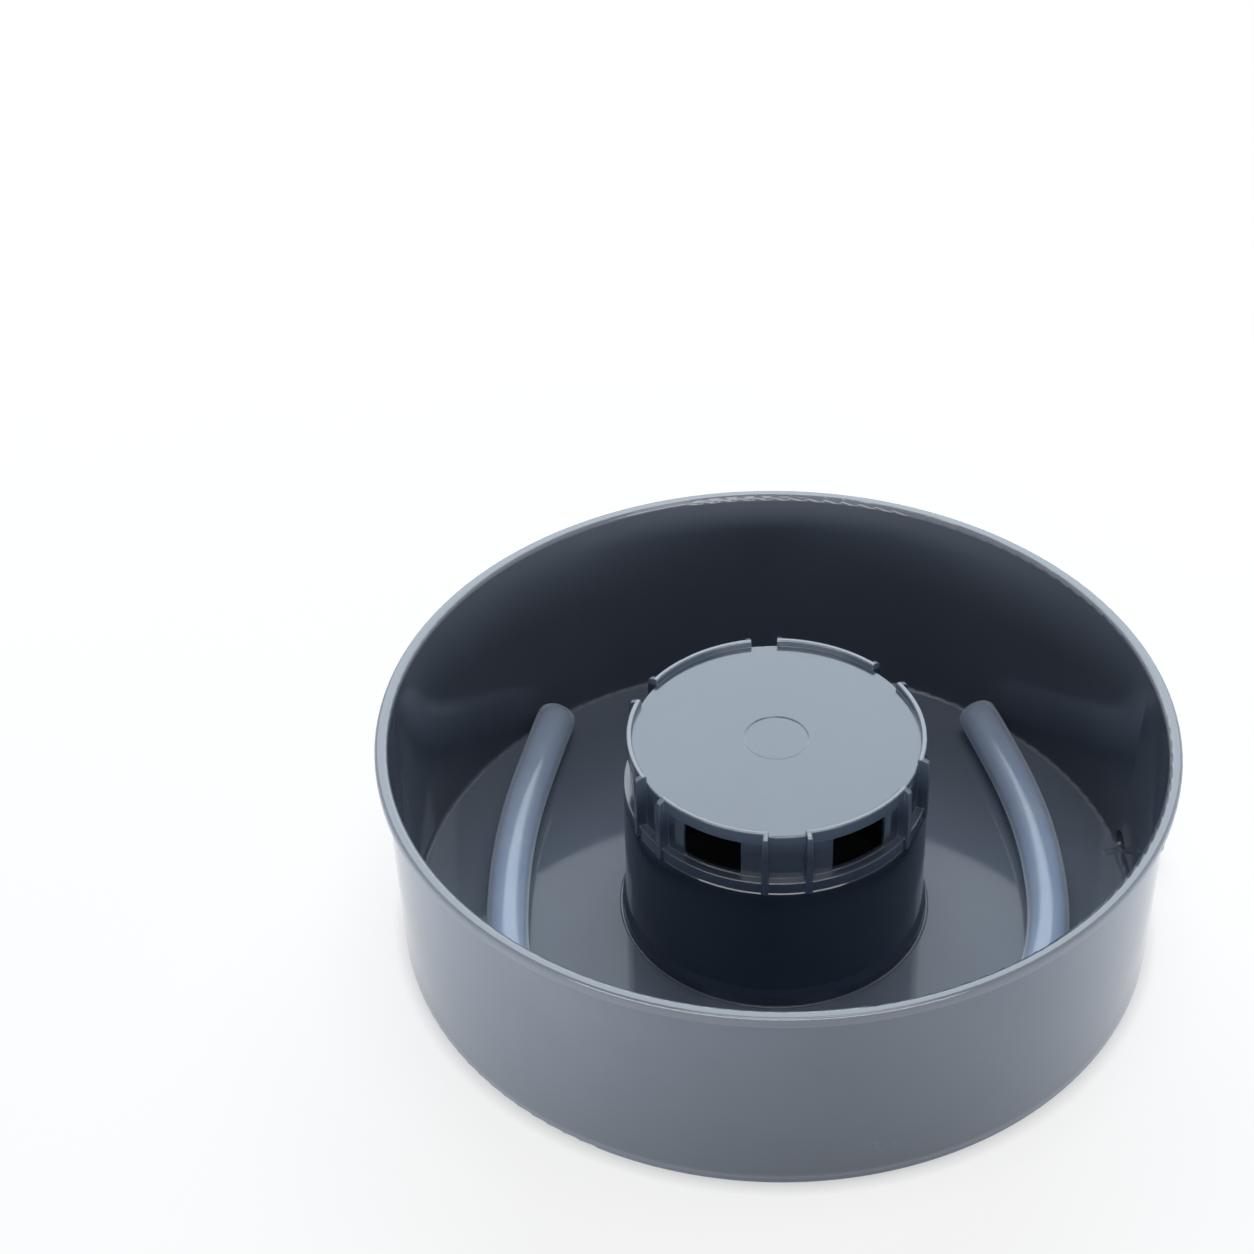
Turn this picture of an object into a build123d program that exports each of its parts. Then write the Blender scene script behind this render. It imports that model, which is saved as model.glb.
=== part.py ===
from build123d import *

import math
import os

# Juice basin of a steam juicing set. Lengths are in millimetres and angles in degrees.
# The origin is on the axis of the steam inlet, in the plane that the basin stands on.
# +X points out along the drain spout and +Z points up.

# Basin
rim_radius = 120.0
basin_height = 72.6
wall_lean = 5.0
wall_thickness = 1.6
wall_foot_thickness = 3.2
floor_thickness = 2.4
bead_overhang = 2.4
bead_depth = 3.4
bead_round = 0.7
rim_outer_round = 1.1
rim_inner_round = 1.5
base_round = 2.5
floor_round = 1.0

# Steam inlet in the floor: the spigot that holds the chimney, and the low lip round the chimney's foot
spigot_height = 8.0
spigot_thickness = 2.25
spigot_edge_round = 0.6
press_clearance = 0.05
lip_clearance = 0.1
lip_width = 0.8
lip_height = 0.6
lip_edge_round = 0.3

# Drain through the wall, with its spout outside
drain_bore_radius = 3.5
drain_dip = 0.3
drain_lead_in = 5.0
drain_mouth_radius = 4.1
drain_mouth_depth = 1.2
spout_root_radius = 5.5
spout_root_length = 1.5
spout_radius = 5.1
spout_length = 10.0
spout_chamfer = 0.8

# Chimney tube, with a ring round its foot, and the gasket in the foot's rebate
chimney_radius = 46.1
chimney_thickness = 2.3
chimney_top = 48.4
foot_overhang = 1.0
foot_height = 6.5
foot_slope = 3.0
seam_chamfer = 0.4
gasket_thickness = 1.5
gasket_width = 1.5
gasket_clearance = 0.3

# Steam cap: skirt, ledge, window wall and disc
skirt_clearance = 1.2
cap_wall_thickness = 1.2
skirt_length = 8.0
ledge_height = 4.0
ledge_width = 2.6
ledge_edge_round = 0.4
recess_height = 13.0
disc_overhang = 0.3
disc_thickness = 3.4
disc_edge_round = 0.6
disc_lower_round = 0.2
gate_mark_radius = 9.9
gate_mark_depth = 0.2
gate_mark_slope = 0.5

# Steam cap: six crown arcs, each with a rib at either end and a window below it
crown_overhang = 1.2
crown_thickness = 1.7
crown_rise = 2.1
crown_skirt = 2.0
crown_edge_round = 0.5

# Gaps between the arcs, not quite evenly spaced: each one's middle, and the angle from there to
# the middle of the rib on either side of it
gaps = [
    (27.6, 8.1),
    (82.6, 6.2),
    (141.5, 7.8),
    (202.3, 7.5),
    (261.7, 8.0),
    (323.9, 9.1),
]
rib_overhang = 0.7
rib_foot_thickness = 2.2
rib_draft = 1.0
rib_root = 1.0
rib_top_slope = 0.9
rib_top_round = 1.2
window_angle = 24.6
window_sill = 0.4
window_header = 0.3
window_corner = 0.9

# Steam cap: guides on the skirt, one under each gap, which centre it in the chimney
guide_width = 3.0
guide_clearance = 0.3

# Drain hose, lying on the basin's floor in an open loop round the chimney
hose_radius = 6.5
hose_bore_radius = 5.0
hose_route = [
    (-53.7, 91.6),
    (-65.0, 66.3),
    (-75.7, 38.0),
    (-83.2, 6.9),
    (-86.9, -23.0),
    (-77.9, -52.8),
    (-56.7, -76.7),
    (-27.2, -91.2),
    (5.6, -95.7),
    (38.4, -86.9),
    (63.3, -65.9),
    (77.7, -39.5),
    (85.1, -6.3),
    (86.9, 29.7),
    (83.1, 65.2),
]
corner_share = 0.45

# One overrun serves every cut
overrun = 1.0

os.makedirs("parts", exist_ok=True)


def corner(sketch, radius, height):
    """The corner of a revolved profile that lies nearest to a radius and a height."""
    return sketch.vertices().sort_by_distance((radius, height, 0))[0]


def wall_radius_at(height):
    """Outer radius of the basin's drafted wall at a height above the base."""
    return rim_radius - wall_lean + (wall_lean - bead_overhang) * height / basin_height


# Places worked out from the sizes above
base_radius = rim_radius - wall_lean
rim_inner_radius = rim_radius - bead_overhang - wall_thickness
bead_bottom = basin_height - bead_depth
floor_wall_radius = wall_radius_at(floor_thickness) - wall_foot_thickness
chimney_bore_radius = chimney_radius - chimney_thickness
spigot_radius = chimney_bore_radius - press_clearance
spigot_top = floor_thickness + spigot_height
inlet_radius = spigot_radius - spigot_thickness
foot_radius = chimney_radius + foot_overhang
foot_top = floor_thickness + foot_height
lip_inner_radius = foot_radius + lip_clearance
lip_radius = lip_inner_radius + lip_width
lip_top = floor_thickness + lip_height
gasket_inner_radius = spigot_radius + gasket_clearance
gasket_radius = gasket_inner_radius + gasket_width
gasket_top = floor_thickness + gasket_thickness
rebate_radius = gasket_radius + gasket_clearance
drain_height = floor_thickness + drain_bore_radius - drain_dip
drain_outer_radius = wall_radius_at(drain_height)
drain_inner_radius = drain_outer_radius - wall_foot_thickness
ledge_top = chimney_top + ledge_height
disc_bottom = ledge_top + recess_height
disc_top = disc_bottom + disc_thickness
gate_mark_floor = disc_top - gate_mark_depth
crown_top = disc_top + crown_rise
crown_bottom = disc_top - crown_skirt
skirt_radius = chimney_bore_radius - skirt_clearance
skirt_bore_radius = skirt_radius - cap_wall_thickness
skirt_middle_radius = (skirt_radius + skirt_bore_radius) / 2
skirt_bottom = chimney_top - skirt_length
cap_wall_radius = chimney_radius - ledge_width
cap_bore_radius = cap_wall_radius - cap_wall_thickness
cap_bore_step = chimney_top + ledge_height / 2
disc_radius = cap_wall_radius + disc_overhang
crown_radius = disc_radius + crown_overhang
crown_inner_radius = crown_radius - crown_thickness
rib_radius = chimney_radius + rib_overhang
guide_radius = chimney_bore_radius - guide_clearance
rib_inner_radius = cap_wall_radius - rib_root
rib_shoulder = crown_top - rib_top_slope
rib_step = disc_top - disc_thickness / 2
window_bottom = ledge_top + window_sill
window_top = disc_bottom - window_header

# Each arc runs from the rib after one gap to the rib before the next, with its window in between
rib_angles = [middle + side for middle, spread in gaps for side in (-spread, spread)]
arc_middles = [
    (here + spread_here + after - spread_after) / 2
    for (here, spread_here), (after, spread_after) in zip(
        gaps, gaps[1:] + [(gaps[0][0] + 360, gaps[0][1])]
    )
]

# Basin: bead, drafted wall, floor, lip and spigot as one turned profile
with BuildPart() as basin:
    with BuildSketch(Plane.XZ) as basin_profile:
        with BuildLine():
            Polyline(
                (inlet_radius, 0),
                (base_radius, 0),
                (wall_radius_at(bead_bottom), bead_bottom),
                (rim_radius, bead_bottom),
                (rim_radius, basin_height),
                (rim_inner_radius, basin_height),
                (floor_wall_radius, floor_thickness),
                (lip_radius, floor_thickness),
                (lip_radius, lip_top),
                (lip_inner_radius, lip_top),
                (lip_inner_radius, floor_thickness),
                (spigot_radius, floor_thickness),
                (spigot_radius, spigot_top),
                (inlet_radius, spigot_top),
                close=True,
            )
        make_face()
        for radius, height, size in [
            (base_radius, 0, base_round),
            (rim_radius, bead_bottom, bead_round),
            (rim_radius, basin_height, rim_outer_round),
            (rim_inner_radius, basin_height, rim_inner_round),
            (floor_wall_radius, floor_thickness, floor_round),
            (lip_radius, lip_top, lip_edge_round),
            (spigot_radius, spigot_top, spigot_edge_round),
        ]:
            fillet(corner(basin_profile, radius, height), radius=size)
    revolve(axis=Axis.Z)

    # Drain spout, from the middle of the wall to its tip, with the shoulder that the hose meets
    for radius, reach in [(spout_root_radius, spout_root_length), (spout_radius, spout_length)]:
        with BuildSketch(Plane.YZ.offset((drain_inner_radius + drain_outer_radius) / 2)):
            with Locations((0, drain_height)):
                Circle(radius)
        extrude(amount=wall_foot_thickness / 2 + reach)
    spout_tip = basin.faces().filter_by(Axis.X).sort_by(Axis.X)[-1]
    chamfer(spout_tip.edges(), length=spout_chamfer)

    # Drain bore, dipping just below the floor so that the basin empties
    with BuildSketch(Plane.YZ.offset(drain_inner_radius - drain_lead_in)):
        with Locations((0, drain_height)):
            Circle(drain_bore_radius)
    extrude(
        amount=drain_lead_in + wall_foot_thickness + spout_length + overrun, mode=Mode.SUBTRACT
    )

    # Flared mouth of the bore, on the wall's inner face
    mouth_plane = Plane.YZ.offset(drain_inner_radius)
    with BuildSketch(mouth_plane) as mouth_start:
        with Locations((0, drain_height)):
            Circle(drain_mouth_radius)
    with BuildSketch(mouth_plane.offset(drain_mouth_depth)) as mouth_end:
        with Locations((0, drain_height)):
            Circle(drain_bore_radius)
    loft([mouth_start.sketch, mouth_end.sketch], mode=Mode.SUBTRACT)
basin.part.label = "basin"

# Gasket, lying on the floor round the spigot
with BuildPart() as chimney_gasket:
    with BuildSketch(Plane.XY.offset(floor_thickness)):
        Circle(gasket_radius)
        Circle(gasket_inner_radius, mode=Mode.SUBTRACT)
    extrude(amount=gasket_thickness)
chimney_gasket.part.label = "chimney_gasket"

# Chimney tube, pressed over the spigot, with the gasket in the rebate under its foot
with BuildPart() as chimney_tube:
    with BuildSketch(Plane.XZ) as chimney_profile:
        with BuildLine():
            Polyline(
                (chimney_bore_radius, gasket_top),
                (rebate_radius, gasket_top),
                (rebate_radius, floor_thickness),
                (foot_radius, floor_thickness),
                (foot_radius, foot_top - foot_slope),
                (chimney_radius, foot_top),
                (chimney_radius, chimney_top),
                (chimney_bore_radius, chimney_top),
                close=True,
            )
        make_face()
        chamfer(corner(chimney_profile, chimney_radius, chimney_top), length=seam_chamfer)
    revolve(axis=Axis.Z)
chimney_tube.part.label = "chimney_tube"

# Crown arcs: a ring standing round the disc's edge, cut away at each gap
with BuildPart() as crown:
    with BuildSketch(Plane.XZ) as crown_profile:
        with BuildLine():
            Polyline(
                (crown_inner_radius, crown_bottom),
                (crown_radius, crown_bottom),
                (crown_radius, crown_top),
                (crown_inner_radius, crown_top),
                close=True,
            )
        make_face()
        for radius in (crown_inner_radius, crown_radius):
            fillet(corner(crown_profile, radius, crown_top), radius=crown_edge_round)
    revolve(axis=Axis.Z)
    crown_middle_radius = (crown_inner_radius + crown_radius) / 2
    with BuildSketch(Plane.XY.offset(crown_bottom - overrun)):
        for middle, spread in gaps:
            with PolarLocations(crown_middle_radius, 1, start_angle=middle):
                Rectangle(
                    crown_thickness + 2 * overrun,
                    2 * crown_middle_radius * math.sin(math.radians(spread)),
                )
    extrude(amount=crown_top - crown_bottom + 2 * overrun, mode=Mode.SUBTRACT)

# Ribs, one at each end of each arc, from the seam to the crown's top
with BuildPart() as ribs:
    with BuildSketch(Plane.XY.offset(chimney_top)):
        for angle in rib_angles:
            with PolarLocations((rib_inner_radius + rib_radius) / 2, 1, start_angle=angle):
                Rectangle(rib_radius - rib_inner_radius + 2 * overrun, rib_foot_thickness)
    extrude(amount=crown_top - chimney_top, taper=rib_draft)
    with BuildSketch(Plane.XZ) as rib_outline:
        with BuildLine():
            Polyline(
                (rib_inner_radius, chimney_top),
                (rib_radius, chimney_top),
                (rib_radius, rib_shoulder),
                (crown_radius - crown_edge_round, crown_top),
                (crown_inner_radius, crown_top),
                (crown_inner_radius, rib_step),
                (rib_inner_radius, rib_step),
                close=True,
            )
        make_face()
        fillet(corner(rib_outline, rib_radius, rib_shoulder), radius=rib_top_round)
        fillet(corner(rib_outline, crown_inner_radius, crown_top), radius=crown_edge_round)
    revolve(axis=Axis.Z, mode=Mode.INTERSECT)

# Steam cap: skirt, ledge, window wall and disc as one turned profile, with its crown and ribs
with BuildPart() as steam_cap:
    with BuildSketch(Plane.XZ) as cap_profile:
        with BuildLine():
            Polyline(
                (skirt_bore_radius, skirt_bottom),
                (skirt_radius, skirt_bottom),
                (skirt_radius, chimney_top),
                (chimney_radius - seam_chamfer, chimney_top),
                (chimney_radius, chimney_top + seam_chamfer),
                (chimney_radius, ledge_top),
                (cap_wall_radius, ledge_top),
                (cap_wall_radius, disc_bottom),
                (disc_radius, disc_bottom),
                (disc_radius, disc_top),
                (gate_mark_radius, disc_top),
                (gate_mark_radius - gate_mark_slope, gate_mark_floor),
                (0, gate_mark_floor),
                (0, disc_bottom),
                (cap_bore_radius, disc_bottom),
                (cap_bore_radius, cap_bore_step),
                (skirt_bore_radius, cap_bore_step),
                close=True,
            )
        make_face()
        for radius, height, size in [
            (chimney_radius, ledge_top, ledge_edge_round),
            (disc_radius, disc_bottom, disc_lower_round),
            (disc_radius, disc_top, disc_edge_round),
        ]:
            fillet(corner(cap_profile, radius, height), radius=size)
    revolve(axis=Axis.Z)
    add(crown.part)
    add(ribs.part)

    # Guides on the skirt
    with BuildSketch(Plane.XY.offset(skirt_bottom)):
        for middle, spread in gaps:
            with PolarLocations((skirt_middle_radius + guide_radius) / 2, 1, start_angle=middle):
                Rectangle(guide_radius - skirt_middle_radius, guide_width)
    extrude(amount=skirt_length)

    # Windows, from the cap's inside out through its wall
    for angle in arc_middles:
        outward = Vector(1, 0, 0).rotate(Axis.Z, angle)
        across = Vector(0, 1, 0).rotate(Axis.Z, angle)
        window_plane = Plane(
            origin=(0, 0, (window_bottom + window_top) / 2), x_dir=across, z_dir=outward
        )
        with BuildSketch(window_plane) as window:
            Rectangle(
                2 * cap_wall_radius * math.sin(math.radians(window_angle / 2)),
                window_top - window_bottom,
            )
            fillet(window.vertices().group_by(Axis.Y)[0], radius=window_corner)
        extrude(amount=cap_wall_radius + overrun, mode=Mode.SUBTRACT)
steam_cap.part.label = "steam_cap"

# Drain hose: straight runs joined by arcs as large as the runs allow
hose_height = floor_thickness + hose_radius
hose_points = [Vector(x, y, hose_height) for x, y in hose_route]
bend_radii = []
for before, here, after in zip(hose_points, hose_points[1:], hose_points[2:]):
    half_turn = math.radians((here - before).get_angle(after - here)) / 2
    shorter_run = min((here - before).length, (after - here).length)
    bend_radii.append(corner_share * shorter_run / math.tan(half_turn))

with BuildPart() as juice_hose:
    with BuildLine():
        hose_line = FilletPolyline(*hose_points, radius=bend_radii)
    with BuildSketch(Plane(origin=hose_line @ 0, z_dir=hose_line % 0)):
        Circle(hose_radius)
        Circle(hose_bore_radius, mode=Mode.SUBTRACT)
    sweep()
juice_hose.part.label = "juice_hose"

hose_section = math.pi * (hose_radius**2 - hose_bore_radius**2)
hose_filled = hose_section * hose_line.length
print("hose length", round(hose_line.length, 1))
print("hose bend radii", [round(radius, 1) for radius in bend_radii])
print("hose volume over section times length", juice_hose.part.volume / hose_filled)

for piece in (basin, chimney_gasket, chimney_tube, steam_cap, juice_hose):
    export_step(piece.part, f"parts/{piece.part.label}.step")
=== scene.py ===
import math

import bpy
from mathutils import Matrix, Vector


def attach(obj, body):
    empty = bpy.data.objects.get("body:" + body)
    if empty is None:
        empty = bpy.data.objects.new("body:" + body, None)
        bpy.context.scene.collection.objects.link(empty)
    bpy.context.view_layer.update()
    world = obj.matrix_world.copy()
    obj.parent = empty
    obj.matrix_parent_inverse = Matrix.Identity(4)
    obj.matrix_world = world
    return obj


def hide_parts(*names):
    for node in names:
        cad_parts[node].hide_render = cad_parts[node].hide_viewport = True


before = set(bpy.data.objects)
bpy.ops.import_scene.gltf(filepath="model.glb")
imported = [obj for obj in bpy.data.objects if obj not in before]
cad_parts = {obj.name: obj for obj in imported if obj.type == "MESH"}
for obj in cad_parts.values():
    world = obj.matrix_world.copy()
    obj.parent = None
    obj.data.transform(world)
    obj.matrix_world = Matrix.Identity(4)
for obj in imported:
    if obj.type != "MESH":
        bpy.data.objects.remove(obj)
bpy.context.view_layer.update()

# Camera: the photograph's own view, in metres and degrees
camera_place = (-0.15777, -0.68337, 0.67662)
camera_heading = 9.411
camera_pitch = 38.859
camera_roll = -1.328
camera_lens = 88.91
camera_near = 0.05
camera_far = 50
sensor_width = 36.0

# Drain hose: its route, kept as in the CAD source, and its section
hose_route = [
    (-0.0537, 0.0916),
    (-0.0650, 0.0663),
    (-0.0757, 0.0380),
    (-0.0832, 0.0069),
    (-0.0869, -0.0230),
    (-0.0779, -0.0528),
    (-0.0567, -0.0767),
    (-0.0272, -0.0912),
    (0.0056, -0.0957),
    (0.0384, -0.0869),
    (0.0633, -0.0659),
    (0.0777, -0.0395),
    (0.0851, -0.0063),
    (0.0869, 0.0297),
    (0.0831, 0.0652),
]
hose_height = 0.0089
hose_radius = 0.0065
hose_bore_radius = 0.0050
hose_edge_round = 0.0003
hose_sides = 56
spline_steps = 12

# Plastics: the darker and the lighter tone of each
basin_dark, basin_light = (0.140, 0.166, 0.208), (0.156, 0.184, 0.228)
chimney_dark, chimney_light = (0.047, 0.066, 0.098), (0.055, 0.076, 0.110)
cap_dark, cap_light = (0.100, 0.132, 0.186), (0.112, 0.146, 0.203)
# How dark the painted shade is, as a share of the darker tone
shade_share = 0.7
# How pale the scuffs and the painted highlight on edges are, as a share of the lighter tone
scuff_and_highlight_share = 1.7

# Plastics: their shine, one level or stops of height with the level there
basin_shine = [
    (0, 0.2),
    (0.0029, 0.2),
    (0.0034, 0.8),
    (0.0040, 0.8),
    (0.0050, 0.4),
    (0.0670, 0.4),
    (0.0695, 0.85),
    (0.0730, 0.85),
]
chimney_shine = 0.5
cap_shine = [(0, 0.7), (0.0690, 0.7), (0.0697, 1), (0.0730, 1)]
plastic_ior = 1.49

# The basin's colour is painted darker towards its foot, a painted shade where less light falls: stops of
# height and how far the colour goes to that shade
basin_painted_shade = [(0, 0), (0.0030, 0), (0.0045, 0.8), (0.0300, 0.4), (0.0600, 0), (0.0730, 0)]

# Plastic surface: textures in cells per metre, and bumps by their depth in metres and their strength
cloud_scale = 22
sheen_scale = 60
gloss_low = 0.8
gloss_high = 1.35
wave_scale, wave_depth, wave_strength = 35, 0.0002, 0.25
peel_scale, peel_depth, peel_strength = 900, 0.00001, 0.5

# Plastic scuffs: the noise values at which a mark is drawn, and the patches that show any
scuff_scale = 110
scuff_bend = 0.6
scuff_marks = [(0.490, 0), (0.4985, 0.15), (0.5015, 0.15), (0.510, 0)]
patch_scale = 28
patch_from, patch_full = 0.66, 0.76

# Plastic edges, painted pale as a painted highlight: how far a softened normal agrees with the true one, on
# an edge and off it
bevel_samples = 6
edge_agreement, flat_agreement = 0.80, 0.98

# Silicone: its tones, and what changes as the surface turns away from the eye, where it is painted pale as a
# painted highlight
silicone_dark, silicone_light = (0.60, 0.73, 1.0), (0.67, 0.79, 1.0)
silicone_painted_highlight = (0.84, 0.92, 1)
silicone_highlight_stops = [(0, 0.1), (0.35, 0), (0.55, 0.25), (0.72, 1), (1, 1)]
plain_until = 0.5
outline_cover = [(0.7, 0.9), (1, 1)]
rim_blend = 0.4
milk_scale = 90
silicone_gloss_scale = 160
silicone_gloss_low, silicone_gloss_high = 0.08, 0.12
grain_scale, grain_depth, grain_strength = 500, 0.00003, 0.5
silicone_ior = 1.41
silicone_shine = 0.9
milk_share = 0.3
milk_depth = 0.004
milk_reach = (0.8, 0.9, 1)

# The span of noise values that textures make use of
noise_low, noise_high = 0.3, 0.7

# Floor: its glow hides the far edge of the shadow; it rises from nothing under the object to full just past
# the foot, which paints a shadow at the foot over the real one
floor_half = 4.0
floor_tone = 0.5
floor_shadow = 0.28
floor_glow = 0.77
painted_shadow_inner = 0.100
painted_shadow_outer = 0.119
floor_fade_from = 0.22
floor_fade_to = 0.50

# World: the dim fill on the object
fill_tone = (0.94, 0.97, 1)
world_fill = 0.09

# Lamps: place, width, height, watts, colour, and whether gloss and matt surfaces show them
white = (1, 1, 1)
sky_blue = (0.80, 0.91, 1)
lamp_target = (0, 0, 0.03)
lamps = {
    "overhead": ((0.05, -0.10, 1.3), 0.66, 0.42, 3.5, white, True, True),
    "high_back": ((0.30, 1.20, 1.10), 1.7, 1.2, 22, sky_blue, True, True),
    "front": ((-0.25, -1.35, 0.17), 1.4, 0.20, 10.5, white, False, True),
    "low_left": ((-1.30, 0.30, 0.04), 0.9, 0.08, 21, white, False, True),
    "low_right": ((1.30, 0.15, 0.04), 0.9, 0.08, 26, white, False, True),
    "edge_light": ((-0.25, -0.95, 1.05), 2.4, 0.5, 22, white, True, False),
}


def make_camera():
    """The camera, turned to its heading, tipped down by its pitch and rolled about its own axis."""
    data = bpy.data.cameras.new("camera")
    data.lens = camera_lens
    data.sensor_width = sensor_width
    data.clip_start = camera_near
    data.clip_end = camera_far
    camera = bpy.data.objects.new("camera", data)
    turn = (
        Matrix.Rotation(math.radians(-camera_heading), 4, "Z")
        @ Matrix.Rotation(math.radians(90 - camera_pitch), 4, "X")
        @ Matrix.Rotation(math.radians(camera_roll), 4, "Z")
    )
    camera.matrix_world = Matrix.Translation(camera_place) @ turn
    bpy.context.scene.collection.objects.link(camera)
    bpy.context.scene.camera = camera


def mesh_object(name, points, faces, smooth=True):
    """A new mesh object from points and faces."""
    mesh = bpy.data.meshes.new(name)
    mesh.from_pydata(points, [], faces)
    mesh.update()
    if smooth:
        mesh.polygons.foreach_set("use_smooth", [True] * len(mesh.polygons))
    piece = bpy.data.objects.new(name, mesh)
    bpy.context.scene.collection.objects.link(piece)
    return piece


def spline_points(route, steps):
    """Points along the smooth line that has the route's points as its control points."""
    curve = bpy.data.curves.new("route", "CURVE")
    curve.dimensions = "3D"
    curve.resolution_u = steps
    spline = curve.splines.new("NURBS")
    spline.points.add(len(route) - 1)
    for point, place in zip(spline.points, route):
        point.co = (*place, 1)
    spline.order_u = 3
    spline.use_endpoint_u = True
    holder = bpy.data.objects.new("route", curve)
    line = bpy.data.meshes.new_from_object(holder)
    points = [vertex.co.copy() for vertex in line.vertices]
    bpy.data.objects.remove(holder)
    bpy.data.curves.remove(curve)
    bpy.data.meshes.remove(line)
    return points


def hose_rings(line):
    """Each ring of the tube's closed skin: its middle, its direction along the hose and its radius."""
    ahead = [(b - a).normalized() for a, b in zip(line, line[1:])]
    ways = [ahead[0]]
    ways += [(a + b).normalized() for a, b in zip(ahead, ahead[1:])]
    ways += [ahead[-1]]
    start, end = line[0], line[-1]
    soft = hose_edge_round
    inner = [(start + ways[0] * soft, ways[0], hose_bore_radius)]
    inner += [(point, way, hose_bore_radius) for point, way in zip(line[1:-1], ways[1:-1])]
    inner += [(end - ways[-1] * soft, ways[-1], hose_bore_radius)]
    outer = [(middle, way, hose_radius) for middle, way, _ in inner]
    rings = [(start, ways[0], hose_radius - soft)] + outer
    rings += [(end, ways[-1], hose_radius - soft), (end, ways[-1], hose_bore_radius + soft)]
    rings += inner[::-1]
    rings += [(start, ways[0], hose_bore_radius + soft)]
    return rings


def make_hose():
    """The drain hose, a tube with its real bore, along the smooth line of its route."""
    line = spline_points([(x, y, hose_height) for x, y in hose_route], spline_steps)
    up = Vector((0, 0, 1))
    points = []
    for middle, way, radius in hose_rings(line):
        side = Vector((way.y, -way.x, 0)).normalized()
        for step in range(hose_sides):
            angle = 2 * math.pi * step / hose_sides
            points.append(middle + (side * math.cos(angle) + up * math.sin(angle)) * radius)
    rings = len(points) // hose_sides
    faces = []
    for ring in range(rings):
        after = (ring + 1) % rings
        for step in range(hose_sides):
            beside = (step + 1) % hose_sides
            faces.append((
                ring * hose_sides + step,
                ring * hose_sides + beside,
                after * hose_sides + beside,
                after * hose_sides + step,
            ))
    hose = mesh_object("drain_hose", points, faces)
    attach(hose, "base")
    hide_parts("juice_hose")
    return hose


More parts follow.
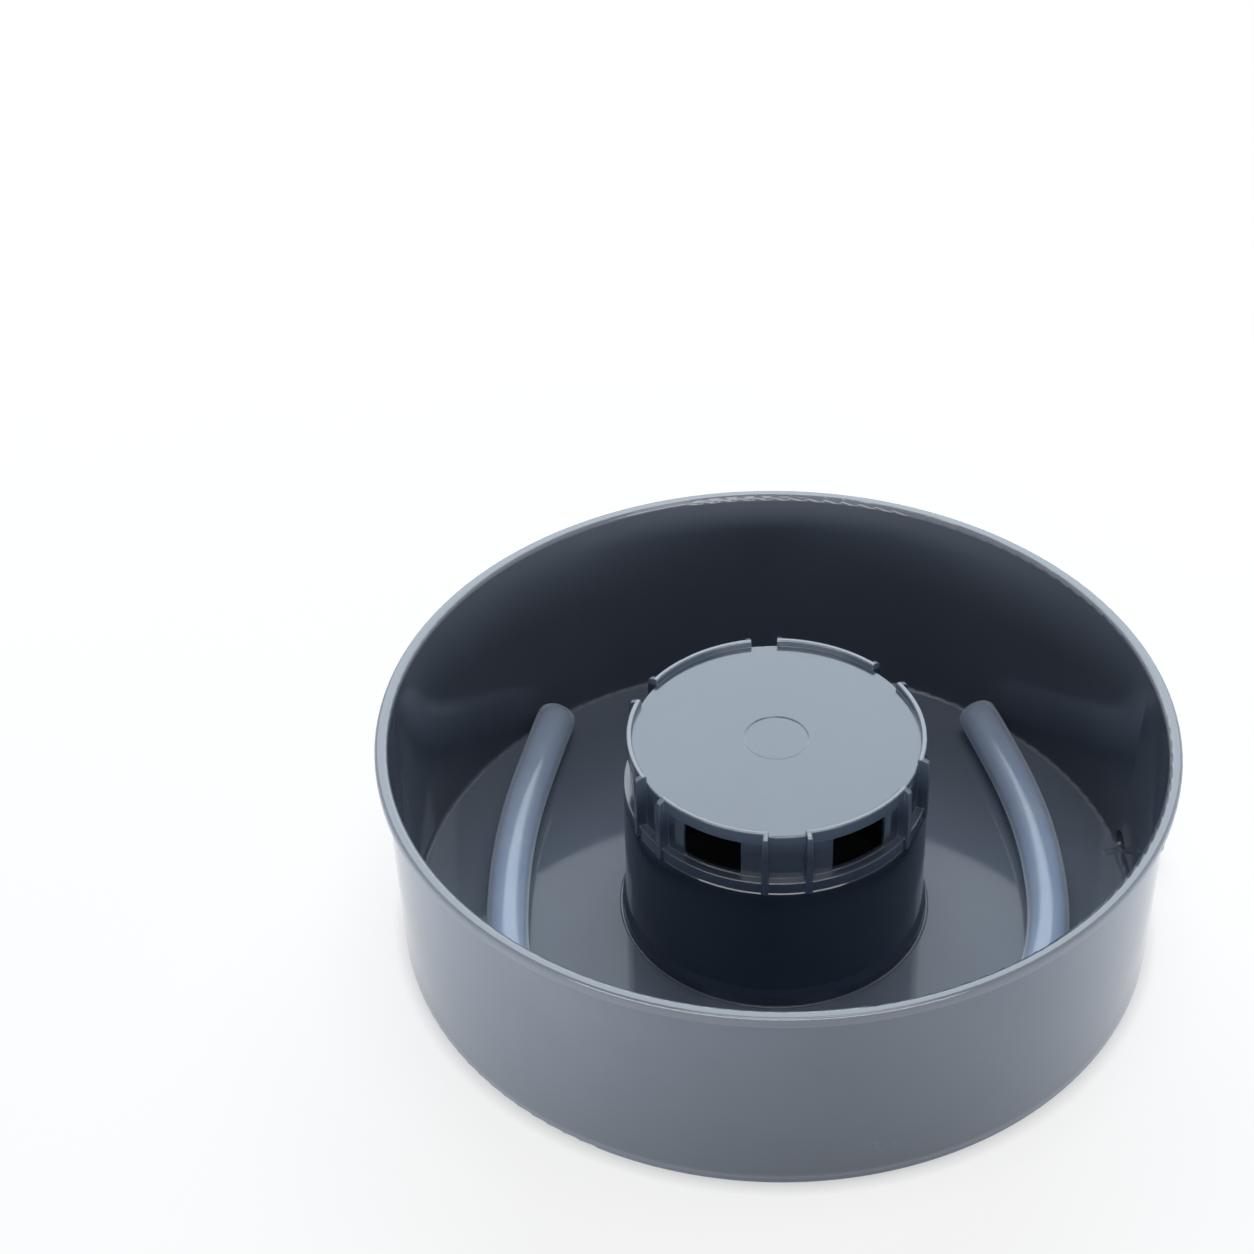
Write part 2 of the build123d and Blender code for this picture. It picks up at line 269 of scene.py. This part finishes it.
class Nodes:
    """The nodes of a material or the world, with short ways to add and link them."""

    def __init__(self, owner, bare=False):
        owner.use_nodes = True
        self.owner = owner
        self.tree = owner.node_tree
        if bare:
            self.tree.nodes.clear()

    def add(self, kind, **settings):
        node = self.tree.nodes.new(kind)
        for key, value in settings.items():
            setattr(node, key, value)
        return node

    def link(self, source, target):
        self.tree.links.new(source, target)

    def place(self):
        """The place on the object, in the object's own coordinates."""
        return self.add("ShaderNodeTexCoord").outputs["Object"]

    def height(self):
        """The height of the place on the object, in metres."""
        split = self.add("ShaderNodeSeparateXYZ")
        self.link(self.place(), split.inputs["Vector"])
        return split.outputs["Z"]

    def noise(self, scale, detail, distortion=0.0):
        """Noise over the object's own coordinates, its scale in cells per metre."""
        node = self.add("ShaderNodeTexNoise")
        node.inputs["Scale"].default_value = scale
        node.inputs["Detail"].default_value = detail
        node.inputs["Distortion"].default_value = distortion
        self.link(self.place(), node.inputs["Vector"])
        return node.outputs["Fac"]

    def span(self, source, low, high, from_low=0.0, from_high=1.0, shape="LINEAR"):
        """The source's values carried from one span to another, and held inside it."""
        node = self.add("ShaderNodeMapRange", interpolation_type=shape)
        node.inputs["From Min"].default_value = from_low
        node.inputs["From Max"].default_value = from_high
        node.inputs["To Min"].default_value = low
        node.inputs["To Max"].default_value = high
        self.link(source, node.inputs["Value"])
        return node.outputs["Result"]

    def cloud(self, scale, detail, low=0.0, high=1.0):
        """Soft patches that run from the low value to the high one."""
        return self.span(self.noise(scale, detail), low, high, noise_low, noise_high)

    def levels(self, source, stops):
        """A value that follows the source through the given stops, each a source value and a level."""
        low, high = stops[0][0], stops[-1][0]
        ramp = self.add("ShaderNodeValToRGB")
        elements = ramp.color_ramp.elements
        while len(elements) < len(stops):
            elements.new(1)
        for element, (place, level) in zip(elements, stops):
            element.position = (place - low) / (high - low)
            element.color = (level, level, level, 1)
        self.link(self.span(source, 0, 1, low, high), ramp.inputs["Fac"])
        return ramp.outputs["Color"]

    def tones(self, source, first, second):
        """A colour that runs with the source from the first, a colour or another node's, to the second."""
        node = self.add("ShaderNodeMix", data_type="RGBA")
        self.link(source, node.inputs["Factor"])
        ends = [socket for socket in node.inputs if socket.type == "RGBA"]
        if isinstance(first, tuple):
            ends[0].default_value = (*first, 1)
        else:
            self.link(first, ends[0])
        ends[1].default_value = (*second, 1)
        return next(socket for socket in node.outputs if socket.type == "RGBA")

    def edges(self, soft):
        """One along the edges, where a softened normal departs from the true one, and zero elsewhere."""
        true = self.add("ShaderNodeNewGeometry")
        along = self.add("ShaderNodeVectorMath", operation="DOT_PRODUCT")
        self.link(soft, along.inputs[0])
        self.link(true.outputs["Normal"], along.inputs[1])
        return self.span(along.outputs["Value"], 1, 0, edge_agreement, flat_agreement)

    def scuffs(self):
        """Thin curved scratch marks in a few patches, as a value that is highest on a mark."""
        marks = self.levels(self.noise(scuff_scale, detail=1, distortion=scuff_bend), scuff_marks)
        patches = self.span(self.noise(patch_scale, detail=2), 0, 1, patch_from, patch_full)
        both = self.add("ShaderNodeMath", operation="MULTIPLY")
        self.link(marks, both.inputs[0])
        self.link(patches, both.inputs[1])
        return both.outputs[0]

    def bump(self, height, depth, strength, below=None):
        """A bump of the height, laid over another normal if there is one."""
        node = self.add("ShaderNodeBump")
        node.inputs["Strength"].default_value = strength
        node.inputs["Distance"].default_value = depth
        self.link(height, node.inputs["Height"])
        if below is not None:
            self.link(below, node.inputs["Normal"])
        return node.outputs["Normal"]

    def matt(self, tone):
        """A matt surface of one grey tone."""
        node = self.add("ShaderNodeBsdfDiffuse")
        node.inputs["Color"].default_value = (tone, tone, tone, 1)
        return node.outputs["BSDF"]

    def mixed(self, share, first, second):
        """Two shaders, mixed by the share of the second."""
        node = self.add("ShaderNodeMixShader")
        for source, socket in zip((share, first, second), node.inputs):
            self.link(source, socket)
        return node.outputs["Shader"]

    def bright_rays(self):
        """One for the rays that see the white surroundings: the camera's, glossy and transmitted ones."""
        rays = self.add("ShaderNodeLightPath")
        seen = rays.outputs["Is Camera Ray"]
        for kind in ("Is Glossy Ray", "Is Transmission Ray"):
            either = self.add("ShaderNodeMath", operation="MAXIMUM")
            self.link(seen, either.inputs[0])
            self.link(rays.outputs[kind], either.inputs[1])
            seen = either.outputs[0]
        return seen


def moulded_plastic(name, dark, light, gloss, shine, edge, depth=None):
    """Glossy moulded plastic: cloudy tone, uneven gloss, soft edges painted pale as a painted highlight, a
    faint orange peel and hairline scuffs.
    The depth of tone, a painted shade that darkens the colour where less light falls, comes as stops of
    height and level, and so does a shine that varies."""
    nodes = Nodes(bpy.data.materials.new(name))
    shader = nodes.tree.nodes["Principled BSDF"]
    pale = [channel * scuff_and_highlight_share for channel in light]
    body = nodes.tones(nodes.cloud(cloud_scale, detail=3), dark, light)
    # Painted shade: the colour is darkened by height, where less light falls
    if depth is not None:
        shaded_tone = [channel * shade_share for channel in dark]
        body = nodes.tones(nodes.levels(nodes.height(), depth), body, shaded_tone)
    body = nodes.tones(nodes.scuffs(), body, pale)
    bevel = nodes.add("ShaderNodeBevel", samples=bevel_samples)
    bevel.inputs["Radius"].default_value = edge
    soft = bevel.outputs["Normal"]
    # Painted highlight: the edges are painted in the pale tone
    body = nodes.tones(nodes.edges(soft), body, pale)
    nodes.link(body, shader.inputs["Base Color"])
    rough = nodes.cloud(sheen_scale, detail=4, low=gloss * gloss_low, high=gloss * gloss_high)
    nodes.link(rough, shader.inputs["Roughness"])
    normal = nodes.bump(nodes.noise(wave_scale, detail=1), wave_depth, wave_strength, below=soft)
    normal = nodes.bump(nodes.noise(peel_scale, detail=1), peel_depth, peel_strength, below=normal)
    nodes.link(normal, shader.inputs["Normal"])
    shader.inputs["IOR"].default_value = plastic_ior
    if isinstance(shine, float):
        shader.inputs["Specular IOR Level"].default_value = shine
    else:
        nodes.link(nodes.levels(nodes.height(), shine), shader.inputs["Specular IOR Level"])
    return nodes.owner


def silicone(name, cover):
    """Milky silicone: painted paler towards its outline, a painted highlight, and each layer hides the
    cover's share of what is behind.
    """
    nodes = Nodes(bpy.data.materials.new(name))
    shader = nodes.tree.nodes["Principled BSDF"]
    body = nodes.tones(nodes.cloud(milk_scale, detail=3), silicone_dark, silicone_light)
    rim = nodes.add("ShaderNodeLayerWeight")
    rim.inputs["Blend"].default_value = rim_blend
    turned = rim.outputs["Facing"]
    # Painted highlight: the colour turns pale towards the outline
    body = nodes.tones(nodes.levels(turned, silicone_highlight_stops), body, silicone_painted_highlight)
    nodes.link(body, shader.inputs["Base Color"])
    hidden = nodes.levels(turned, [(0, cover), (plain_until, cover)] + outline_cover)
    nodes.link(hidden, shader.inputs["Alpha"])
    rough = nodes.cloud(silicone_gloss_scale, detail=2, low=silicone_gloss_low, high=silicone_gloss_high)
    nodes.link(rough, shader.inputs["Roughness"])
    grain = nodes.bump(nodes.noise(grain_scale, detail=2), grain_depth, grain_strength)
    nodes.link(grain, shader.inputs["Normal"])
    shader.inputs["IOR"].default_value = silicone_ior
    shader.inputs["Specular IOR Level"].default_value = silicone_shine
    shader.inputs["Subsurface Weight"].default_value = milk_share
    shader.inputs["Subsurface Scale"].default_value = milk_depth
    shader.inputs["Subsurface Radius"].default_value = milk_reach
    return nodes.owner


def dress(piece, material):
    """Gives a piece one material."""
    piece.data.materials.clear()
    piece.data.materials.append(material)


def make_floor():
    """A pale floor that shows white to the camera and in gloss, keeps the object's soft shadow, and has a
    painted shadow round the object's foot.
    """
    corners = [(-floor_half, -floor_half, 0), (floor_half, -floor_half, 0)]
    corners += [(floor_half, floor_half, 0), (-floor_half, floor_half, 0)]
    floor = mesh_object("floor", corners, [(0, 1, 2, 3)], smooth=False)
    nodes = Nodes(bpy.data.materials.new("floor_white"), bare=True)
    length = nodes.add("ShaderNodeVectorMath", operation="LENGTH")
    nodes.link(nodes.place(), length.inputs[0])
    away = length.outputs["Value"]
    glow = nodes.add("ShaderNodeEmission")
    # Painted shadow: the glow is weaker near the object's foot
    nodes.link(nodes.span(away, 0, floor_glow, painted_shadow_inner, painted_shadow_outer), glow.inputs["Strength"])
    lit = nodes.add("ShaderNodeAddShader")
    nodes.link(nodes.matt(floor_shadow), lit.inputs[0])
    nodes.link(glow.outputs["Emission"], lit.inputs[1])
    plain_white = nodes.add("ShaderNodeEmission")
    fade = nodes.span(away, 0, 1, floor_fade_from, floor_fade_to, shape="SMOOTHSTEP")
    seen = nodes.mixed(fade, lit.outputs["Shader"], plain_white.outputs["Emission"])
    out = nodes.add("ShaderNodeOutputMaterial")
    nodes.link(nodes.mixed(nodes.bright_rays(), nodes.matt(floor_tone), seen), out.inputs["Surface"])
    dress(floor, nodes.owner)


def make_world():
    """White to the camera and in reflections, and a dim fill on the object."""
    world = bpy.data.worlds.new("world")
    bpy.context.scene.world = world
    nodes = Nodes(world, bare=True)
    dim = nodes.add("ShaderNodeBackground")
    dim.inputs["Color"].default_value = (*fill_tone, 1)
    dim.inputs["Strength"].default_value = world_fill
    bright = nodes.add("ShaderNodeBackground")
    bright.inputs["Color"].default_value = (*white, 1)
    out = nodes.add("ShaderNodeOutputWorld")
    both = nodes.mixed(nodes.bright_rays(), dim.outputs["Background"], bright.outputs["Background"])
    nodes.link(both, out.inputs["Surface"])


def softbox(name, place, width, height, watts, colour, in_gloss, on_matt):
    """A rectangular soft light at a place, aimed at the object."""
    data = bpy.data.lights.new(name, "AREA")
    data.shape = "RECTANGLE"
    data.size = width
    data.size_y = height
    data.energy = watts
    data.color = colour
    lamp = bpy.data.objects.new(name, data)
    lamp.location = place
    lamp.rotation_mode = "QUATERNION"
    lamp.rotation_quaternion = (Vector(lamp_target) - Vector(place)).to_track_quat("-Z", "Y")
    lamp.visible_glossy = in_gloss
    lamp.visible_diffuse = on_matt
    bpy.context.scene.collection.objects.link(lamp)


make_camera()
hose = make_hose()

basin_plastic = moulded_plastic(
    "basin_plastic",
    basin_dark,
    basin_light,
    gloss=0.07,
    shine=basin_shine,
    edge=0.0004,
    depth=basin_painted_shade,
)
chimney_plastic = moulded_plastic(
    "chimney_plastic",
    chimney_dark,
    chimney_light,
    gloss=0.07,
    shine=chimney_shine,
    edge=0.0003,
)
cap_plastic = moulded_plastic(
    "cap_plastic",
    cap_dark,
    cap_light,
    gloss=0.12,
    shine=cap_shine,
    edge=0.0005,
)
dress(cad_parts["basin"], basin_plastic)
dress(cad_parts["chimney_tube"], chimney_plastic)
dress(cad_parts["steam_cap"], cap_plastic)
dress(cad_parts["chimney_gasket"], silicone("gasket_rubber", cover=0.9))
dress(hose, silicone("hose_silicone", cover=0.48))

make_floor()
make_world()
for lamp_name, settings in lamps.items():
    softbox(lamp_name, *settings)

view = bpy.context.scene.view_settings
view.view_transform = "Standard"
